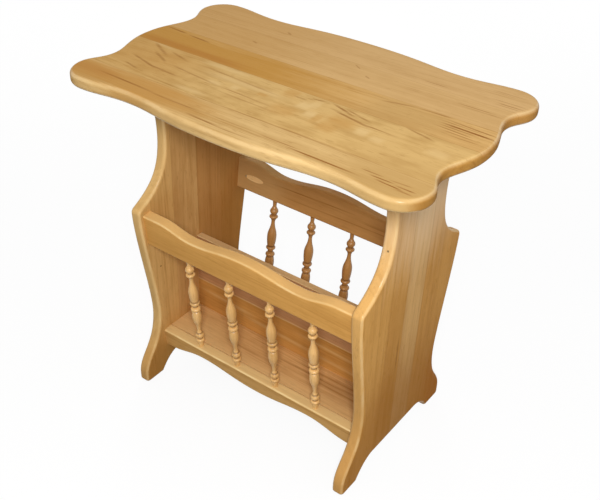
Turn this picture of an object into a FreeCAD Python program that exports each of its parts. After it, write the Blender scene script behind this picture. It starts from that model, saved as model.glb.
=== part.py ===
import FreeCAD, Part
import math
import os
from FreeCAD import Placement, Rotation, Vector

# Magazine table: a wavy top on two shaped side panels, with a V-shaped spindle rack between them.
# Frame: millimetres, +Z up, +X along the top, front at -Y, origin on the floor below the middle.

# Table top
TOP_LENGTH = 551.0
TOP_DEPTH = 344.4
TOP_THICK = 18.0
TABLE_HEIGHT = 538.0
TOP_ARRIS = 6.0
EAR_RADIUS = 39.0
EAR_SETBACK = 1.8
EAR_DROP = 4.2
END_SCOOP_DEPTH = 17.1
END_SCOOP_FROM_EAR = 50.0
SIDE_SCOOP_DEPTH = 12.8
SIDE_SCOOP_FROM_EAR = 82.0
TOP_OVERHANG = 73.7
TOP_GLUE_SHARES = (-0.66, -0.10, 0.232, 0.58)

# Side panels: half depths and the heights where they occur
PANEL_THICK = 18.0
PANEL_ARRIS = 4.5
HEAD_HALF = 88.0
NECK_HALF = 64.5
SHOULDER_HALF = 127.5
SHOULDER_HEIGHT = 326.5
SHOULDER_RADIUS = 9.0
SHOULDER_SLOPE = 27.5
WAIST_HALF = 100.5
WAIST_HEIGHT = 125.0
FOOT_HALF = 139.5
FOOT_RISE = 15.0
FOOT_LENGTH = 38.5
TOE_RADIUS = 6.0
HEEL_RADIUS = 4.0
ARCH_HEIGHT = 28.0
ARCH_RUN = 41.0
LEFT_GLUE_LINES = (-55.0, 0.0, 55.0)
RIGHT_GLUE_LINES = (-55.0, -15.0, 33.0)

# Spindle gates: both lean outwards from the middle of their apron's top edge
GATE_TILT = 6.6
GATE_FOOT_OUT = 84.4
GATE_FOOT_HEIGHT = 85.0
RAIL_THICK = 18.0
RAIL_ARRIS = 3.0
RAIL_END_HEIGHT = 53.6
RAIL_DIP_HEIGHT = 43.0
RAIL_HUMP_HEIGHT = 52.8
RAIL_DIP_FROM_END = 88.8
RAIL_END_RUN = 26.0
APRON_THICK = 18.0
APRON_ARRIS = 3.0
APRON_END_DROP = 32.5
APRON_SCALLOP_DROP = 19.5
APRON_HUMP_DROP = 29.5
APRON_SCALLOP_FROM_END = 80.8
APRON_END_RUN = 8.0

# Turned spindles: heights above the foot, or depths below the head, and radii
SPINDLE_COUNT = 4
SPINDLE_PITCH = 74.6
SPINDLE_LENGTH = 182.0
TENON_RADIUS = 3.2
TENON_LENGTH = 12.0
FOOT_RING_UP = 14.3
FOOT_BALL_UP = 24.5
MID_RINGS_UP = 87.4
MID_RING_PITCH = 12.6
HEAD_BALL_DOWN = 20.4
HEAD_RING_DOWN = 30.6
RING_HEIGHT = 5.4
BALL_HEIGHT = 9.4
MID_RING_HEIGHT = 6.8
RING_RADIUS = 7.1
BALL_RADIUS = 6.8
MID_RING_RADIUS = 7.8
VASE_RADIUS = 7.7
VASE_SHOULDER_RADIUS = 6.4
LOWER_VASE_RUN = 13.0
UPPER_VASE_RUN = 18.0
VASE_LIP = 2.0
SPINDLE_NECK_RADIUS = 3.0
NECK_GAP = 6.0
GROOVE_RADIUS = 4.5
SPINDLE_FOOT_RADIUS = 4.2
SPINDLE_HEAD_RADIUS = 3.9
HEAD_NECK_GAP = 4.5

# Rack floor and divider
FLOOR_THICK = 16.0
FLOOR_STEP = 0.6
FLOOR_GLUE_LINES = (0.0,)
DIVIDER_THICK = 12.0
DIVIDER_TOP = 224.5
DIVIDER_ARRIS = 1.5
DIVIDER_GLUE_LINES = (140.0,)

# Dowels, pocket screws and plugs
DOWEL_RADIUS = 4.0
DIVIDER_DOWEL_RADIUS = 3.0
DOWEL_CHAMFER = 1.0
DOWEL_IN_PANEL = 11.0
DOWEL_IN_TOP = 11.0
DOWEL_IN_END_GRAIN = 19.0
HEAD_DOWELS_OUT = (26.0, 63.0)
FLOOR_DOWELS_OUT = (22.0, 58.0)
APRON_DOWEL_DROP = 15.0
DIVIDER_DOWELS_UP = (30.0, 105.0)
POCKET_ANGLE = 15.0
POCKET_RADIUS = 4.75
POCKET_SEAT = 16.0
POCKET_UP = 25.0
SCREW_RADIUS = 2.0
SCREW_HEAD_RADIUS = 4.2
SCREW_HEAD_HEIGHT = 2.5
SCREW_IN_PANEL = 15.0
SCREW_TIP = 4.0
GLUE_GAP = 0.1
END_GAP = 0.5

# Places that follow from the sizes above
head_height = TABLE_HEIGHT - TOP_THICK
neck_height = (head_height + SHOULDER_HEIGHT) / 2
panel_inner = TOP_LENGTH / 2 - TOP_OVERHANG - PANEL_THICK
top_glue_lines = [share * TOP_DEPTH / 2 for share in TOP_GLUE_SHARES]
tilt = math.radians(GATE_TILT)
gate_up = Vector(0, -math.sin(tilt), math.cos(tilt))
gate_front = Vector(0, -math.cos(tilt), -math.sin(tilt))
gate_foot = Vector(0, -GATE_FOOT_OUT, GATE_FOOT_HEIGHT)
gate_place = Placement(gate_foot, Rotation(Vector(1, 0, 0), gate_up, gate_front, "XYZ"))
half_turn = Placement(Vector(), Rotation(Vector(0, 0, 1), 180))
apron_back_arris = gate_foot - gate_front * (APRON_THICK / 2)
floor_top = apron_back_arris.z - FLOOR_STEP
FLAT = 1e-3


# Shared shapes

def curve(*poles):
    bezier = Part.BezierCurve()
    bezier.setPoles(list(poles))
    return bezier.toShape()


def line(start, end):
    return Part.LineSegment(start, end).toShape()


def ease(start, end, along, lead, trail):
    """A smooth step from start to end, with both ends tangent to the direction along."""
    reach = along * (end - start).dot(along)
    return curve(start, start + reach * lead, end - reach * trail, end)


def board(edges, thickness):
    outline = Part.Wire(Part.__sortEdges__(edges))
    return Part.Face(outline).extrude(thickness)


def lies_across(edge, normal):
    """True where the whole edge lies in one plane with this normal, and isn't along it."""
    levels = [vertex.Point.dot(normal) for vertex in edge.Vertexes]
    middle = edge.valueAt((edge.FirstParameter + edge.LastParameter) / 2).dot(normal)
    return max(levels + [middle]) - min(levels + [middle]) < FLAT


def slices(solid, glue_lines, along):
    """The boards that a glued-up panel is made of, cut at its glue lines."""
    reach = solid.BoundBox.DiagonalLength
    bounds = [-reach] + list(glue_lines) + [reach]
    turn = Rotation(Vector(1, 0, 0), along)
    boards = []
    for low, high in zip(bounds, bounds[1:]):
        cutter = Part.makeBox(high - low, 4 * reach, 4 * reach, Vector(low, -2 * reach, -2 * reach))
        cutter.Placement = Placement(Vector(), turn)
        boards.append(solid.common(cutter))
    return boards


def drilled(solid, drills):
    for drill in drills:
        if solid.BoundBox.intersect(drill.BoundBox):
            solid = solid.cut(drill)
    return solid


def placed(shape, place):
    copy = shape.copy()
    copy.Placement = place.multiply(copy.Placement)
    return copy


# Table top

def top_quadrant(sx, sy):
    def at(x, y):
        return Vector(sx * x, sy * y, head_height)

    half_length = TOP_LENGTH / 2
    half_depth = TOP_DEPTH / 2
    ear_x = half_length - EAR_SETBACK
    ear_y = half_depth - EAR_DROP
    ear_centre = at(ear_x - EAR_RADIUS, ear_y - EAR_RADIUS)
    ear_out = at(ear_x, ear_y - EAR_RADIUS)
    ear_side = at(ear_x - EAR_RADIUS, ear_y)
    ear_tip = ear_centre + (at(1, 1) - at(0, 0)) * (EAR_RADIUS / math.sqrt(2))
    end_scoop = at(half_length - END_SCOOP_DEPTH, ear_y - EAR_RADIUS - END_SCOOP_FROM_EAR)
    side_scoop = at(ear_x - EAR_RADIUS - SIDE_SCOOP_FROM_EAR, half_depth - SIDE_SCOOP_DEPTH)
    across = Vector(0, 1, 0)
    lengthways = Vector(1, 0, 0)
    return [
        ease(at(half_length, 0), end_scoop, across, 0.5, 0.3),
        ease(end_scoop, ear_out, across, 0.45, 0.4),
        Part.Arc(ear_out, ear_tip, ear_side).toShape(),
        ease(ear_side, side_scoop, lengthways, 0.38, 0.44),
        ease(side_scoop, at(0, half_depth), lengthways, 0.3, 0.6),
    ]


def make_top():
    edges = [edge for sx in (1, -1) for sy in (1, -1) for edge in top_quadrant(sx, sy)]
    up = Vector(0, 0, 1)
    blank = board(edges, up * TOP_THICK)
    return blank.makeFillet(TOP_ARRIS, [edge for edge in blank.Edges if lies_across(edge, up)])


# Side panels

def panel_half(side):
    def at(y, z):
        return Vector(panel_inner, side * y, z)

    heel = FOOT_HALF - FOOT_LENGTH
    arch_end = heel - ARCH_RUN
    slope = math.radians(SHOULDER_SLOPE)
    shoulder_reach = 0.64 * (SHOULDER_HALF - NECK_HALF)
    neck_reach = 0.64 * (neck_height - SHOULDER_HEIGHT)
    shoulder_lead = at(SHOULDER_HALF - shoulder_reach * math.cos(slope),
                       SHOULDER_HEIGHT + shoulder_reach * math.sin(slope))
    flare = HEAD_HALF - NECK_HALF
    flare_height = head_height - neck_height
    upright = Vector(0, 0, 1)
    neck = at(NECK_HALF, neck_height)
    shoulder = at(SHOULDER_HALF, SHOULDER_HEIGHT)
    waist = at(WAIST_HALF, WAIST_HEIGHT)
    toe_top = at(FOOT_HALF, FOOT_RISE)
    return [
        line(at(0, head_height), at(HEAD_HALF, head_height)),
        curve(at(HEAD_HALF, head_height), at(HEAD_HALF - 0.6 * flare, head_height - 0.35 * flare_height),
              at(NECK_HALF, neck_height + 0.4 * flare_height), neck),
        curve(neck, at(NECK_HALF, neck_height - neck_reach), shoulder_lead, shoulder),
        ease(shoulder, waist, upright, 0.25, 0.2),
        ease(waist, toe_top, upright, 0.62, 0.35),
        line(toe_top, at(FOOT_HALF, 0)),
        line(at(FOOT_HALF, 0), at(heel, 0)),
        curve(at(heel, 0), at(heel - 0.27 * ARCH_RUN, 0.57 * ARCH_HEIGHT),
              at(arch_end + 0.39 * ARCH_RUN, ARCH_HEIGHT), at(arch_end, ARCH_HEIGHT)),
        line(at(arch_end, ARCH_HEIGHT), at(0, ARCH_HEIGHT)),
    ]


def corner_edges(blank, y, z):
    return [edge for edge in blank.Edges
            if abs(abs(edge.CenterOfMass.y) - y) < FLAT and abs(edge.CenterOfMass.z - z) < FLAT]


def make_panel():
    outward = Vector(1, 0, 0)
    blank = board(panel_half(1) + panel_half(-1), outward * PANEL_THICK).removeSplitter()
    blank = blank.makeFillet(SHOULDER_RADIUS, corner_edges(blank, SHOULDER_HALF, SHOULDER_HEIGHT))
    blank = blank.makeFillet(TOE_RADIUS, corner_edges(blank, FOOT_HALF, 0))
    blank = blank.makeFillet(HEEL_RADIUS, corner_edges(blank, FOOT_HALF - FOOT_LENGTH, 0))
    arrises = [edge for edge in blank.Edges
               if lies_across(edge, outward) and edge.CenterOfMass.z < head_height - FLAT]
    return blank.makeFillet(PANEL_ARRIS, arrises)


# Spindle gates, in their own frame: X along the rail, Y up the gate, Z to the front

def gate_point(x, up):
    return Vector(x, up, 0)


def wavy_edge(side, middle, dip, end, dip_from_end, end_run):
    """Half of a scalloped edge: the middle hump, the dip beside it and the flat end."""
    lengthways = Vector(1, 0, 0)
    hump = gate_point(0, middle)
    scoop = gate_point(side * (panel_inner - dip_from_end), dip)
    end_start = gate_point(side * (panel_inner - end_run), end)
    return [
        ease(hump, scoop, lengthways, 0.45, 0.4),
        ease(scoop, end_start, lengthways, 0.4, 0.4),
        line(end_start, gate_point(side * panel_inner, end)),
    ]


def scalloped_rail(straight, wave, thick, arris):
    """A board with one straight edge and one scalloped edge, centred on the gate's plane."""
    end = wave[2]
    edges = [line(gate_point(-panel_inner, straight), gate_point(panel_inner, straight))]
    for side in (1, -1):
        edges += wavy_edge(side, *wave)
        edges.append(line(gate_point(side * panel_inner, straight), gate_point(side * panel_inner, end)))
    front = Vector(0, 0, 1)
    blank = board(edges, front * thick)
    blank.translate(front * (-thick / 2))
    arrises = [edge for edge in blank.Edges
               if lies_across(edge, front) and abs(edge.CenterOfMass.x) < panel_inner - FLAT]
    return blank.makeFillet(arris, arrises)


def make_rail():
    wave = (RAIL_HUMP_HEIGHT, RAIL_DIP_HEIGHT, RAIL_END_HEIGHT, RAIL_DIP_FROM_END, RAIL_END_RUN)
    rail = scalloped_rail(0, wave, RAIL_THICK, RAIL_ARRIS)
    rail.translate(gate_point(0, SPINDLE_LENGTH))
    return rail


def make_apron():
    wave = (-APRON_HUMP_DROP, -APRON_SCALLOP_DROP, -APRON_END_DROP,
            APRON_SCALLOP_FROM_END, APRON_END_RUN)
    return scalloped_rail(0, wave, APRON_THICK, APRON_ARRIS)


def bead(middle, height, radius):
    """The rounded profile of a ring or ball, between two grooves."""
    low = Vector(GROOVE_RADIUS, middle - height / 2, 0)
    crest = Vector(radius, middle, 0)
    high = Vector(GROOVE_RADIUS, middle + height / 2, 0)
    return Part.Arc(low, crest, high).toShape()


def vase(rings_edge, neck_end, run):
    """The swelling between the middle rings and a neck: run is from the rings to its widest place."""
    lip = rings_edge + math.copysign(VASE_LIP, run)
    swell = rings_edge + run
    upright = Vector(0, 1, 0)
    return [
        line(Vector(GROOVE_RADIUS, rings_edge, 0), Vector(VASE_SHOULDER_RADIUS, lip, 0)),
        curve(Vector(VASE_SHOULDER_RADIUS, lip, 0), Vector(VASE_RADIUS, (lip + swell) / 2, 0),
              Vector(VASE_RADIUS, swell, 0)),
        ease(Vector(VASE_RADIUS, swell, 0), Vector(SPINDLE_NECK_RADIUS, neck_end, 0), upright, 0.4, 0.5),
    ]


def make_spindle():
    upright = Vector(0, 1, 0)
    half_ring = RING_HEIGHT / 2
    half_ball = BALL_HEIGHT / 2
    half_mid = MID_RING_HEIGHT / 2
    head = SPINDLE_LENGTH
    foot_ring = FOOT_RING_UP
    foot_ball = FOOT_BALL_UP
    head_ball = head - HEAD_BALL_DOWN
    head_ring = head - HEAD_RING_DOWN
    low_ring = MID_RINGS_UP - MID_RING_PITCH / 2
    high_ring = MID_RINGS_UP + MID_RING_PITCH / 2
    low_neck = foot_ball + half_ball + NECK_GAP
    high_neck = head_ring - half_ring - NECK_GAP
    head_neck = head_ball + half_ball + HEAD_NECK_GAP

    def at(radius, up):
        return Vector(radius, up, 0)

    def groove(low, high):
        return line(at(GROOVE_RADIUS, low), at(GROOVE_RADIUS, high))

    def cove(bead_edge, neck):
        return ease(at(GROOVE_RADIUS, bead_edge), at(SPINDLE_NECK_RADIUS, neck), upright, 0.4, 0.4)

    edges = [
        line(at(0, head + TENON_LENGTH), at(0, -TENON_LENGTH)),
        line(at(0, -TENON_LENGTH), at(TENON_RADIUS, -TENON_LENGTH)),
        line(at(TENON_RADIUS, -TENON_LENGTH), at(TENON_RADIUS, 0)),
        line(at(TENON_RADIUS, 0), at(SPINDLE_FOOT_RADIUS, 0)),
        line(at(SPINDLE_FOOT_RADIUS, 0), at(GROOVE_RADIUS, foot_ring - half_ring)),
        groove(foot_ring + half_ring, foot_ball - half_ball),
        cove(foot_ball + half_ball, low_neck),
        groove(low_ring + half_mid, high_ring - half_mid),
        cove(head_ring - half_ring, high_neck),
        groove(head_ring + half_ring, head_ball - half_ball),
        cove(head_ball + half_ball, head_neck),
        ease(at(SPINDLE_NECK_RADIUS, head_neck), at(SPINDLE_HEAD_RADIUS, head), upright, 0.5, 0.3),
        line(at(SPINDLE_HEAD_RADIUS, head), at(TENON_RADIUS, head)),
        line(at(TENON_RADIUS, head), at(TENON_RADIUS, head + TENON_LENGTH)),
        line(at(TENON_RADIUS, head + TENON_LENGTH), at(0, head + TENON_LENGTH)),
    ]
    edges += [bead(middle, RING_HEIGHT, RING_RADIUS) for middle in (foot_ring, head_ring)]
    edges += [bead(middle, BALL_HEIGHT, BALL_RADIUS) for middle in (foot_ball, head_ball)]
    edges += [bead(middle, MID_RING_HEIGHT, MID_RING_RADIUS) for middle in (low_ring, high_ring)]
    edges += vase(low_ring - half_mid, low_neck, -LOWER_VASE_RUN)
    edges += vase(high_ring + half_mid, high_neck, UPPER_VASE_RUN)
    profile = Part.Face(Part.Wire(Part.__sortEdges__(edges)))
    return profile.revolve(Vector(), upright, 360)


def spindle_places():
    first = -SPINDLE_PITCH * (SPINDLE_COUNT - 1) / 2
    return [gate_point(first + index * SPINDLE_PITCH, 0) for index in range(SPINDLE_COUNT)]


def spindle_sockets():
    length = TENON_LENGTH + END_GAP
    sockets = []
    for place in spindle_places():
        for mouth, inwards in ((0, -1), (SPINDLE_LENGTH, 1)):
            base = place + gate_point(0, mouth)
            sockets.append(Part.makeCylinder(TENON_RADIUS + GLUE_GAP, length, base,
                                             Vector(0, inwards, 0)))
    return sockets


# Pocket screws: slanted in from a rail's inner face, out through the middle of its end

def pocket_line(side):
    angle = math.radians(POCKET_ANGLE)
    end = gate_point(side * panel_inner, SPINDLE_LENGTH + POCKET_UP)
    return end, Vector(side * math.cos(angle), 0, math.sin(angle))


def make_screw(side):
    end, inwards = pocket_line(side)
    seat = end - inwards * POCKET_SEAT
    shank = POCKET_SEAT + SCREW_IN_PANEL - SCREW_TIP
    screw = Part.makeCylinder(SCREW_HEAD_RADIUS, SCREW_HEAD_HEIGHT, seat, inwards * -1)
    screw = screw.fuse(Part.makeCylinder(SCREW_RADIUS, shank, seat, inwards))
    return screw.fuse(Part.makeCone(SCREW_RADIUS, 0, SCREW_TIP, seat + inwards * shank, inwards))


def screw_drill(side):
    end, inwards = pocket_line(side)
    length = POCKET_SEAT + SCREW_IN_PANEL + END_GAP
    return Part.makeCylinder(SCREW_RADIUS + GLUE_GAP, length, end - inwards * POCKET_SEAT, inwards)


def pocket(side, radius, seat):
    end, inwards = pocket_line(side)
    length = 2 * RAIL_THICK / math.sin(math.radians(POCKET_ANGLE))
    return Part.makeCylinder(radius, length, end - inwards * seat, inwards * -1)


def make_plug(side, rail):
    shaft = pocket(side, POCKET_RADIUS - GLUE_GAP, POCKET_SEAT + SCREW_HEAD_HEIGHT + END_GAP)
    return shaft.common(rail)


# Dowels

def dowel(base, along, length, radius):
    pin = Part.makeCylinder(radius, length, base, along)
    rims = [edge for edge in pin.Edges if isinstance(edge.Curve, Part.Circle)]
    return pin.makeChamfer(DOWEL_CHAMFER, rims)


def dowel_drill(base, along, length, radius):
    return Part.makeCylinder(radius + GLUE_GAP, length + 2 * END_GAP, base - along * END_GAP, along)


def both_ways(distances):
    return [sign * distance for distance in distances for sign in (1, -1)]


def dowel_sets():
    """Each set of dowels: its pins as base, direction, length and radius."""
    up = Vector(0, 0, 1)
    panel_middle = panel_inner + PANEL_THICK / 2
    head_pin = DOWEL_IN_END_GRAIN + DOWEL_IN_TOP
    panel_pin = DOWEL_IN_END_GRAIN + DOWEL_IN_PANEL
    apron_pin = gate_foot - gate_up * APRON_DOWEL_DROP
    sets = {"head_dowels": [], "floor_dowels": [], "apron_dowels": [], "divider_dowels": []}
    for side in (1, -1):
        outward = Vector(side, 0, 0)
        inner = side * (panel_inner - DOWEL_IN_END_GRAIN)
        for y in both_ways(HEAD_DOWELS_OUT):
            base = Vector(side * panel_middle, y, head_height - DOWEL_IN_END_GRAIN)
            sets["head_dowels"].append((base, up, head_pin, DOWEL_RADIUS))
        for y in both_ways(FLOOR_DOWELS_OUT):
            base = Vector(inner, y, floor_top - FLOOR_THICK / 2)
            sets["floor_dowels"].append((base, outward, panel_pin, DOWEL_RADIUS))
        for y in both_ways([apron_pin.y]):
            base = Vector(inner, y, apron_pin.z)
            sets["apron_dowels"].append((base, outward, panel_pin, DOWEL_RADIUS))
        for rise in DIVIDER_DOWELS_UP:
            base = Vector(inner, 0, floor_top + rise)
            sets["divider_dowels"].append((base, outward, panel_pin, DIVIDER_DOWEL_RADIUS))
    return sets


# Rack floor and divider

def make_floor():
    """The floor's edges are bevelled to lie against the leaning aprons."""
    top_half = -apron_back_arris.y - FLOOR_STEP * math.tan(tilt)
    bottom_half = top_half - FLOOR_THICK * math.tan(tilt)
    floor_bottom = floor_top - FLOOR_THICK
    corners = [Vector(-panel_inner, y, z) for y, z in (
        (-top_half, floor_top), (top_half, floor_top),
        (bottom_half, floor_bottom), (-bottom_half, floor_bottom))]
    section = Part.Face(Part.makePolygon(corners + corners[:1]))
    return section.extrude(Vector(2 * panel_inner, 0, 0))


def make_divider():
    height = DIVIDER_TOP - floor_top
    corner = Vector(-panel_inner, -DIVIDER_THICK / 2, floor_top)
    blank = Part.makeBox(2 * panel_inner, DIVIDER_THICK, height, corner)
    arrises = [edge for edge in blank.Edges
               if abs(edge.CenterOfMass.z - DIVIDER_TOP) < FLAT and abs(edge.CenterOfMass.x) < FLAT]
    return blank.makeFillet(DIVIDER_ARRIS, arrises)


# Assembly

def build():
    dowels = dowel_sets()
    dowel_drills = [dowel_drill(*pin) for pins in dowels.values() for pin in pins]
    gates = {"front": gate_place, "back": half_turn.multiply(gate_place)}
    screw_drills = [placed(screw_drill(side), place) for place in gates.values() for side in (1, -1)]
    drills = dowel_drills + screw_drills
    up = Vector(0, 0, 1)
    across = Vector(0, 1, 0)
    nodes = {}

    def add_boards(name, solid, glue_lines, along):
        for number, piece in enumerate(slices(drilled(solid, drills), glue_lines, along), 1):
            nodes[f"{name}_board_{number}"] = piece

    right_panel = make_panel()
    left_panel = placed(right_panel, half_turn)
    add_boards("top", make_top(), top_glue_lines, across)
    add_boards("left_panel", left_panel, LEFT_GLUE_LINES, across)
    add_boards("right_panel", right_panel, RIGHT_GLUE_LINES, across)
    add_boards("floor", make_floor(), FLOOR_GLUE_LINES, across)
    add_boards("divider", make_divider(), DIVIDER_GLUE_LINES, up)

    rail = make_rail()
    pockets = [pocket(side, POCKET_RADIUS, POCKET_SEAT) for side in (1, -1)]
    screw_holes = [screw_drill(side) for side in (1, -1)]
    drilled_rail = drilled(rail, spindle_sockets() + pockets + screw_holes)
    apron = drilled(make_apron(), spindle_sockets())
    spindle = make_spindle()
    screws = []
    plugs = []
    for name, place in gates.items():
        nodes[f"{name}_rail"] = placed(drilled_rail, place)
        nodes[f"{name}_apron"] = drilled(placed(apron, place), dowel_drills)
        for number, spot in enumerate(spindle_places(), 1):
            stand = place.multiply(Placement(spot, Rotation()))
            nodes[f"{name}_spindle_{number}"] = placed(spindle, stand)
        screws += [placed(make_screw(side), place) for side in (1, -1)]
        plugs += [placed(make_plug(side, rail), place) for side in (1, -1)]
    nodes["rail_screws"] = Part.makeCompound(screws)
    nodes["rail_plugs"] = Part.makeCompound(plugs)
    for name, pins in dowels.items():
        nodes[name] = Part.makeCompound([dowel(*pin) for pin in pins])
    return nodes


os.makedirs("parts", exist_ok=True)
for node, shape in build().items():
    Part.makeCompound(shape.Solids).exportStep(f"parts/{node}.step")
    print(node, len(shape.Solids), round(shape.Volume), shape.isValid())
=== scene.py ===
"""Oak magazine table with a rack of turned spindles: lacquered boards, studio light and camera."""

import math

import bpy
from mathutils import Matrix, Vector

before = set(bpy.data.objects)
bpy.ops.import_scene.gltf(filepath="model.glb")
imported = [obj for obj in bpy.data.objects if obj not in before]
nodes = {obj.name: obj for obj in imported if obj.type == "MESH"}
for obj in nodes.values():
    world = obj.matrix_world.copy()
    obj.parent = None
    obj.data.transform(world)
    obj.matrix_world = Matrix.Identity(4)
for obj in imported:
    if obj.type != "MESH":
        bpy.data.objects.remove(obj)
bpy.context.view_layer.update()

# ---------------------------------------------------------------- places, in metres
TOP_FACE = 0.538          # upper face of the table top
TOP_JOINTS = (-0.1137, -0.0172, 0.0400, 0.0999)     # glue lines between the top's five boards, front to back
PANEL_OUTER = 0.2018      # outer faces of the two end panels
PANEL_JOINTS = {"left": (-0.055, 0.0, 0.055), "right": (-0.055, -0.015, 0.033)}
FLOOR_FACE = 0.0854       # upper face of the rack's floor
FLOOR_JOINTS = (0.0,)
GATE_TILT = math.radians(6.6)     # how far the two gates lean outwards
GATE_FOOT = (0.0844, 0.085)       # where a gate's face meets the floor: out from the middle, and up
SPINDLE_PITCH = 0.0746
SPINDLE_COUNT = 4
MIDDLE = (0.0, 0.0, 0.0)          # the middle of the table, on the ground

ALONG = Vector((1, 0, 0))
BACKWARD = Vector((0, 1, 0))
UPWARD = Vector((0, 0, 1))
LEVEL = (ALONG, BACKWARD, UPWARD)     # grain, across and out of a board that lies flat

# ---------------------------------------------------------------- camera of the photograph
CAMERA_PLACE = Vector((0.63982, -0.89988, 1.04855))
CAMERA_AZIMUTH = math.radians(37.49)
CAMERA_ELEVATION = math.radians(37.36)
CAMERA_ROLL = math.radians(0.72)
CAMERA_LENS = 54.86               # mm
SENSOR_WIDTH = 36.0               # mm
CAMERA_SHIFT = (0.0588, 0.0599)
CAMERA_CLIP = (0.05, 60.0)


def srgb(red, green, blue):
    """A display colour, 0 to 255, as the linear colour that nodes take."""
    def linear(level):
        level /= 255.0
        return level / 12.92 if level <= 0.04045 else ((level + 0.055) / 1.055) ** 2.4
    return (linear(red), linear(green), linear(blue), 1.0)


# ---------------------------------------------------------------- small helpers for node trees
def put(tree, kind, sockets=None, **settings):
    """Adds a node; a socket's value is either a constant or another node's output."""
    node = tree.nodes.new(kind)
    for name, value in settings.items():
        setattr(node, name, value)
    for name, value in (sockets or {}).items():
        if isinstance(value, bpy.types.NodeSocket):
            tree.links.new(value, node.inputs[name])
        else:
            node.inputs[name].default_value = value
    return node


def math_of(tree, operation, first, second=0.0, third=0.0, clamp=False):
    return put(tree, "ShaderNodeMath", {0: first, 1: second, 2: third},
               operation=operation, use_clamp=clamp).outputs[0]


def vector_of(tree, operation, first, second=(0.0, 0.0, 0.0)):
    node = put(tree, "ShaderNodeVectorMath", {0: first, 1: second}, operation=operation)
    scalar = operation in ("DOT_PRODUCT", "LENGTH", "DISTANCE")
    return node.outputs["Value" if scalar else "Vector"]


def smooth_step(tree, value, low, high, start=0.0, end=1.0):
    return put(tree, "ShaderNodeMapRange",
               {"Value": value, "From Min": low, "From Max": high, "To Min": start, "To Max": end},
               interpolation_type="SMOOTHSTEP").outputs["Result"]


def mix_colour(tree, amount, first, second, blend="MIX"):
    """Mixes two colours; the Mix node's colour sockets are numbers 6 and 7, and its colour output 2."""
    return put(tree, "ShaderNodeMix", {0: amount, 6: first, 7: second},
               data_type="RGBA", blend_type=blend, clamp_factor=True).outputs[2]


def noise_of(tree, place, stretch, offset, detail=2.0, rough=0.5):
    """Noise that runs stretch (along, across, out) periods to the metre."""
    spread = vector_of(tree, "ADD", vector_of(tree, "MULTIPLY", place, stretch), offset)
    return put(tree, "ShaderNodeTexNoise",
               {"Vector": spread, "Scale": 1.0, "Detail": detail, "Roughness": rough}).outputs["Fac"]


def new_group(name, inputs, outputs):
    """A shader node group with named sockets: (name, kind, start value) in, (name, kind) out."""
    tree = bpy.data.node_groups.new(name, "ShaderNodeTree")
    for label, kind, start in inputs:
        socket = tree.interface.new_socket(label, in_out="INPUT", socket_type="NodeSocket" + kind)
        socket.default_value = start
    for label, kind in outputs:
        tree.interface.new_socket(label, in_out="OUTPUT", socket_type="NodeSocket" + kind)
    return tree, tree.nodes.new("NodeGroupInput").outputs, tree.nodes.new("NodeGroupOutput").inputs


def place_group(tree, group, sockets):
    return put(tree, "ShaderNodeGroup", sockets, node_tree=group).outputs


# ---------------------------------------------------------------- shared effects
# how fast each feature of the grain changes: periods to the metre along, across and out of a board
RING_SWAY = (3.0, 11.0, 11.0)
RING_SHIVER = (11.0, 75.0, 75.0)
RING_FADE = (7.0, 40.0, 40.0)
STREAKS = (3.6, 85.0, 85.0)
BANDS = (1.6, 17.0, 17.0)
RIPPLE = (30.0, 58.0, 58.0)
LONG_PORES = (24.0, 620.0, 620.0)
PORE_TICKS = (60.0, 420.0, 420.0)
MARK_SWING = (9.0, 120.0, 120.0)
MARK_LINES = (16.0, 520.0, 520.0)
WEAR_AND_SHEEN_PATCHES = (28.0, 45.0, 45.0)

SHIFT_SPREAD = (1.0, 3.17, 5.31)  # how a board's shift moves its noise along, across and out
SHIVER = 0.0026           # how far a ring shivers, in metres
UNEVEN_YEARS = 1.6        # how far the years' growth strays from even, in rings
EARLY_WOOD = (0.14, 0.75)         # where in a year the early wood is darkest, and where it ends
MEAN_DEPTH = 0.36         # how far a board's mean tone lies from its light towards its dark colour
RING_SHARE = 0.12         # the part of that depth that the rings make
DULLNESS = 0.34           # roughness of plain lacquered oak


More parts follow.
